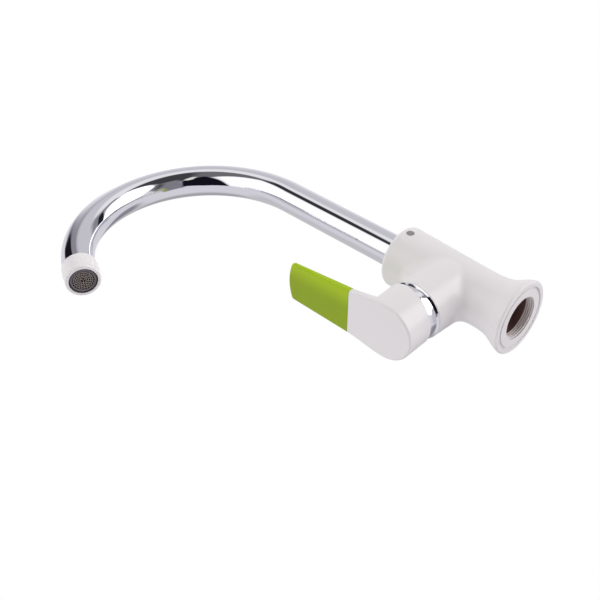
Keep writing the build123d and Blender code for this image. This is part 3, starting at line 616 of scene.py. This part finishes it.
# Each card: its corners (right, down) in degrees, its colour, and how soft its edge is.
# Later cards lie over earlier ones
cards = {
    "ceiling": {
        "corners": ((-20, -124), (100, -128), (130, -84), (-30, -84)),
        "colour": "#dad9dc",
        "soft": 8,
    },
    "farWindow": {
        "corners": ((-170, -180), (60, -180), (50, -122), (-10, -116), (-68, -116), (-112, -74), (-170, -44)),
        "colour": "#ffffff",
        "strength": 1.3,
        "soft": 20,
    },
    "farRight": {
        "corners": ((122, -120), (170, -120), (170, 60), (122, 60)),
        "colour": "#e8e7ea",
        "soft": 8,
    },
    "lowLeft": {
        "corners": ((-120, 60), (-70, 60), (-50, 150), (-150, 150)),
        "colour": "#d6d5d6",
        "soft": 30,
    },
    "lowRight": {
        "corners": ((90, 60), (170, 40), (150, 150), (60, 150)),
        "colour": "#cdcccc",
        "soft": 30,
    },
    "underShade": {
        "corners": ((-60, 112), (70, 112), (80, 166), (-70, 166)),
        "colour": "#b4b3b6",
        "soft": 34,
    },
    "farLeftTail": {
        "corners": ((-100, -98), (-14, -112), (-12, -101), (-52, -82), (-100, -60)),
        "colour": "#98969d",
        "soft": 16,
    },
    "farLeft": {
        "corners": ((-106, -66), (-80, -92), (-60, -94), (-50, -84), (-108, -50)),
        "colour": "#1c1a20",
        "soft": 8,
    },
    "upperLight": {
        "corners": ((-48, -88), (50, -88), (44, -60), (-44, -60)),
        "colour": "#fffffe",
        "soft": 10,
    },
    "rightShade": {
        "corners": ((54, -88), (98, -84), (100, -58), (58, -66)),
        "colour": "#929196",
        "soft": 16,
    },
    "rightArc": {
        "corners": ((92, -120), (108, -112), (122, -66), (118, -10), (100, -6), (104, -60)),
        "colour": "#b3b2b8",
        "soft": 8,
    },
    "leftBrow": {
        "corners": ((-56, -64), (-14, -64), (-16, -51), (-58, -51)),
        "colour": "#a3a2a3",
        "soft": 6,
    },
    "leftBrowDark": {
        "corners": ((-66, -72), (-30, -72), (-27, -58), (-36, -50), (-66, -56)),
        "colour": "#373537",
        "soft": 6,
    },
    "leftBox": {
        "corners": ((-92, -49), (-18, -49), (-6, -24), (-26, 40), (-46, 36), (-92, 0)),
        "colour": "#ffffff",
        "strength": 1.35,
        "soft": 9,
    },
    "lowStripe": {
        "corners": ((-96, 8), (-52, 24), (-52, 34), (-96, 22)),
        "colour": "#c9c9c8",
        "soft": 7,
    },
    "gapPale": {
        "corners": ((-34, -64), (12, -64), (6, -20), (-5, -17), (-31, -46)),
        "colour": "#777679",
        "soft": 5,
    },
    "gapDark": {
        "corners": ((-1, -65), (35, -65), (36, -20), (20, -2), (6, -26)),
        "colour": "#464649",
        "soft": 8,
    },
    "sideGrey": {
        "corners": ((20, -20), (40, -22), (54, 0), (54, 24), (44, 46), (24, 44)),
        "colour": "#8c898f",
        "soft": 6,
    },
    "sideDark": {
        "corners": ((32, -34), (39, -18), (58, 4), (56, 14), (44, 8), (34, -10)),
        "colour": "#585859",
        "soft": 7,
    },
    "greenCard": {
        "corners": ((43, 8), (51, 12), (50, 44), (43, 50)),
        "colour": "#a7a890",
        "soft": 4,
    },
    "rightBrowTail": {
        "corners": ((40, -69), (62, -74), (66, -66), (44, -60)),
        "colour": "#8e8d90",
        "soft": 5,
    },
    "rightBrow": {
        "corners": ((60, -70), (68, -73), (104, -60), (103, -41), (72, -61)),
        "colour": "#25252c",
        "soft": 4,
    },
    "rightBox": {
        "corners": ((39, -58), (66, -59), (102, -42), (97, -24), (80, 4), (66, 6), (42, -16), (36, -36)),
        "colour": "#ffffff",
        "strength": 3.0,
        "soft": 5,
    },
    "stand": {
        "corners": ((-1, -24), (3, -22), (21, -2), (26, 36), (2, 46), (-26, 42), (-12, 0)),
        "colour": "#171520",
        "soft": 3,
    },
    "spark": {
        "corners": ((5, -24), (10, -23), (17, -11), (15, -5), (10, -8)),
        "colour": "#fafaed",
        "soft": 2,
    },
    "lowDark": {
        "corners": ((85, 54), (112, 42), (150, 60), (150, 108), (92, 100)),
        "colour": "#98969d",
        "soft": 20,
    },
}


# One edge after another cuts the card out: the mask is the product of soft steps across the edges.
# The spot is (right, down, 1), so its product with (inward, offset) is the depth inside an edge
def cardMask(tree, spot, corners, soft):
    mask = None
    for (u0, v0), (u1, v1) in zip(corners, corners[1:] + corners[:1]):
        length = ((u1 - u0) ** 2 + (v1 - v0) ** 2) ** 0.5
        inward = ((v0 - v1) / length, (u1 - u0) / length)
        edge = (*inward, -(u0 * inward[0] + v0 * inward[1]))
        depth = addNode(tree, "ShaderNodeVectorMath", {"operation": "DOT_PRODUCT"}, {0: spot, 1: edge})
        step = addNode(
            tree,
            "ShaderNodeMapRange",
            {"interpolation_type": "SMOOTHSTEP"},
            {"Value": depth.outputs["Value"], "From Min": -soft / 2, "From Max": soft / 2},
        )
        if mask is not None:
            step = addNode(tree, "ShaderNodeMath", {"operation": "MULTIPLY"}, {0: mask, 1: step})
        mask = step
    return mask


# White to the camera. Everything else, light and mirrors alike, sees the room with its cards
studio = bpy.data.worlds.new("softStudio")
bpy.context.scene.world = studio
studio.use_nodes = True
air = studio.node_tree
air.nodes.clear()
aim = addNode(air, "ShaderNodeTexCoord").outputs["Generated"]
toward = {}
for name in ("middle", "right", "down"):
    heading = Vector(studioPlan[name]).normalized()
    dot = addNode(air, "ShaderNodeVectorMath", {"operation": "DOT_PRODUCT"}, {0: aim, 1: heading})
    toward[name] = dot.outputs["Value"]

# Degrees from the middle, shared out between right and down. Right at the middle the sine is kept above 0
angle = addNode(air, "ShaderNodeMath", {"operation": "ARCCOSINE"}, {0: toward["middle"]})
degrees = addNode(air, "ShaderNodeMath", {"operation": "MULTIPLY"}, {0: angle, 1: 180 / pi})
sine = addNode(air, "ShaderNodeMath", {"operation": "SINE"}, {0: angle})
sine = addNode(air, "ShaderNodeMath", {"operation": "MAXIMUM"}, {0: sine, 1: 0.001})
spread = addNode(air, "ShaderNodeMath", {"operation": "DIVIDE"}, {0: degrees, 1: sine})
across = addNode(air, "ShaderNodeMath", {"operation": "MULTIPLY"}, {0: toward["right"], 1: spread})
down = addNode(air, "ShaderNodeMath", {"operation": "MULTIPLY"}, {0: toward["down"], 1: spread})
spot = addNode(air, "ShaderNodeCombineXYZ", inputs={"X": across, "Y": down, "Z": 1.0})

wall = {"Color": linearColour(studioPlan["room"]), "Strength": studioPlan["roomStrength"]}
room = addNode(air, "ShaderNodeBackground", inputs=wall)
for card in cards.values():
    paint = {"Color": linearColour(card["colour"]), "Strength": card.get("strength", 1.0)}
    face = addNode(air, "ShaderNodeBackground", inputs=paint)
    mask = cardMask(air, spot, card["corners"], card["soft"])
    room = addNode(air, "ShaderNodeMixShader", inputs={0: mask, 1: room, 2: face})
white = addNode(air, "ShaderNodeBackground", inputs={"Color": (1.0, 1.0, 1.0, 1.0)})
rays = addNode(air, "ShaderNodeLightPath").outputs["Is Camera Ray"]
seen = addNode(air, "ShaderNodeMixShader", inputs={0: rays, 1: room, 2: white})
addNode(air, "ShaderNodeOutputWorld", inputs={"Surface": seen})

# Soft lamp overhead, for the shadow on the floor. Mirrors don't show it
lampPlan = {"place": (0.25, 0.1, 1.1), "aim": (0, -0.06, 0.14), "side": 0.9, "watts": 3.0}
light = bpy.data.lights.new("overhead", "AREA")
light.size = lampPlan["side"]
light.energy = lampPlan["watts"]
lamp = pieceOf("overhead", light)
lamp.location = lampPlan["place"]
beam = Vector(lampPlan["aim"]) - Vector(lampPlan["place"])
lamp.rotation_euler = beam.to_track_quat("-Z", "Y").to_euler()
lamp.visible_glossy = False

# The photograph's camera, fitted to the outline: it looks up at the foot, and its picture is turned
cameraPlan = {
    "place": (0.3976164, -0.4526589, -0.2369095),
    "pictureRight": (0.0030403, 0.6981719, -0.7159237),
    "pictureDown": (-0.7877143, -0.4393649, -0.4318157),
    "lensMm": 57.446,
    "sensorMm": 36.0,
    "nearM": 0.01,
}
right = Vector(cameraPlan["pictureRight"]).normalized()
up = -Vector(cameraPlan["pictureDown"]).normalized()
back = right.cross(up)
cameraData = bpy.data.cameras.new("photoCamera")
cameraData.lens = cameraPlan["lensMm"]
cameraData.sensor_width = cameraPlan["sensorMm"]
cameraData.clip_start = cameraPlan["nearM"]
camera = pieceOf("photoCamera", cameraData)
turn = Matrix((right, up, back)).transposed().to_4x4()
camera.matrix_world = Matrix.Translation(cameraPlan["place"]) @ turn
bpy.context.scene.camera = camera
bpy.context.scene.view_settings.view_transform = "Standard"
print("stage, lamp and camera ready")
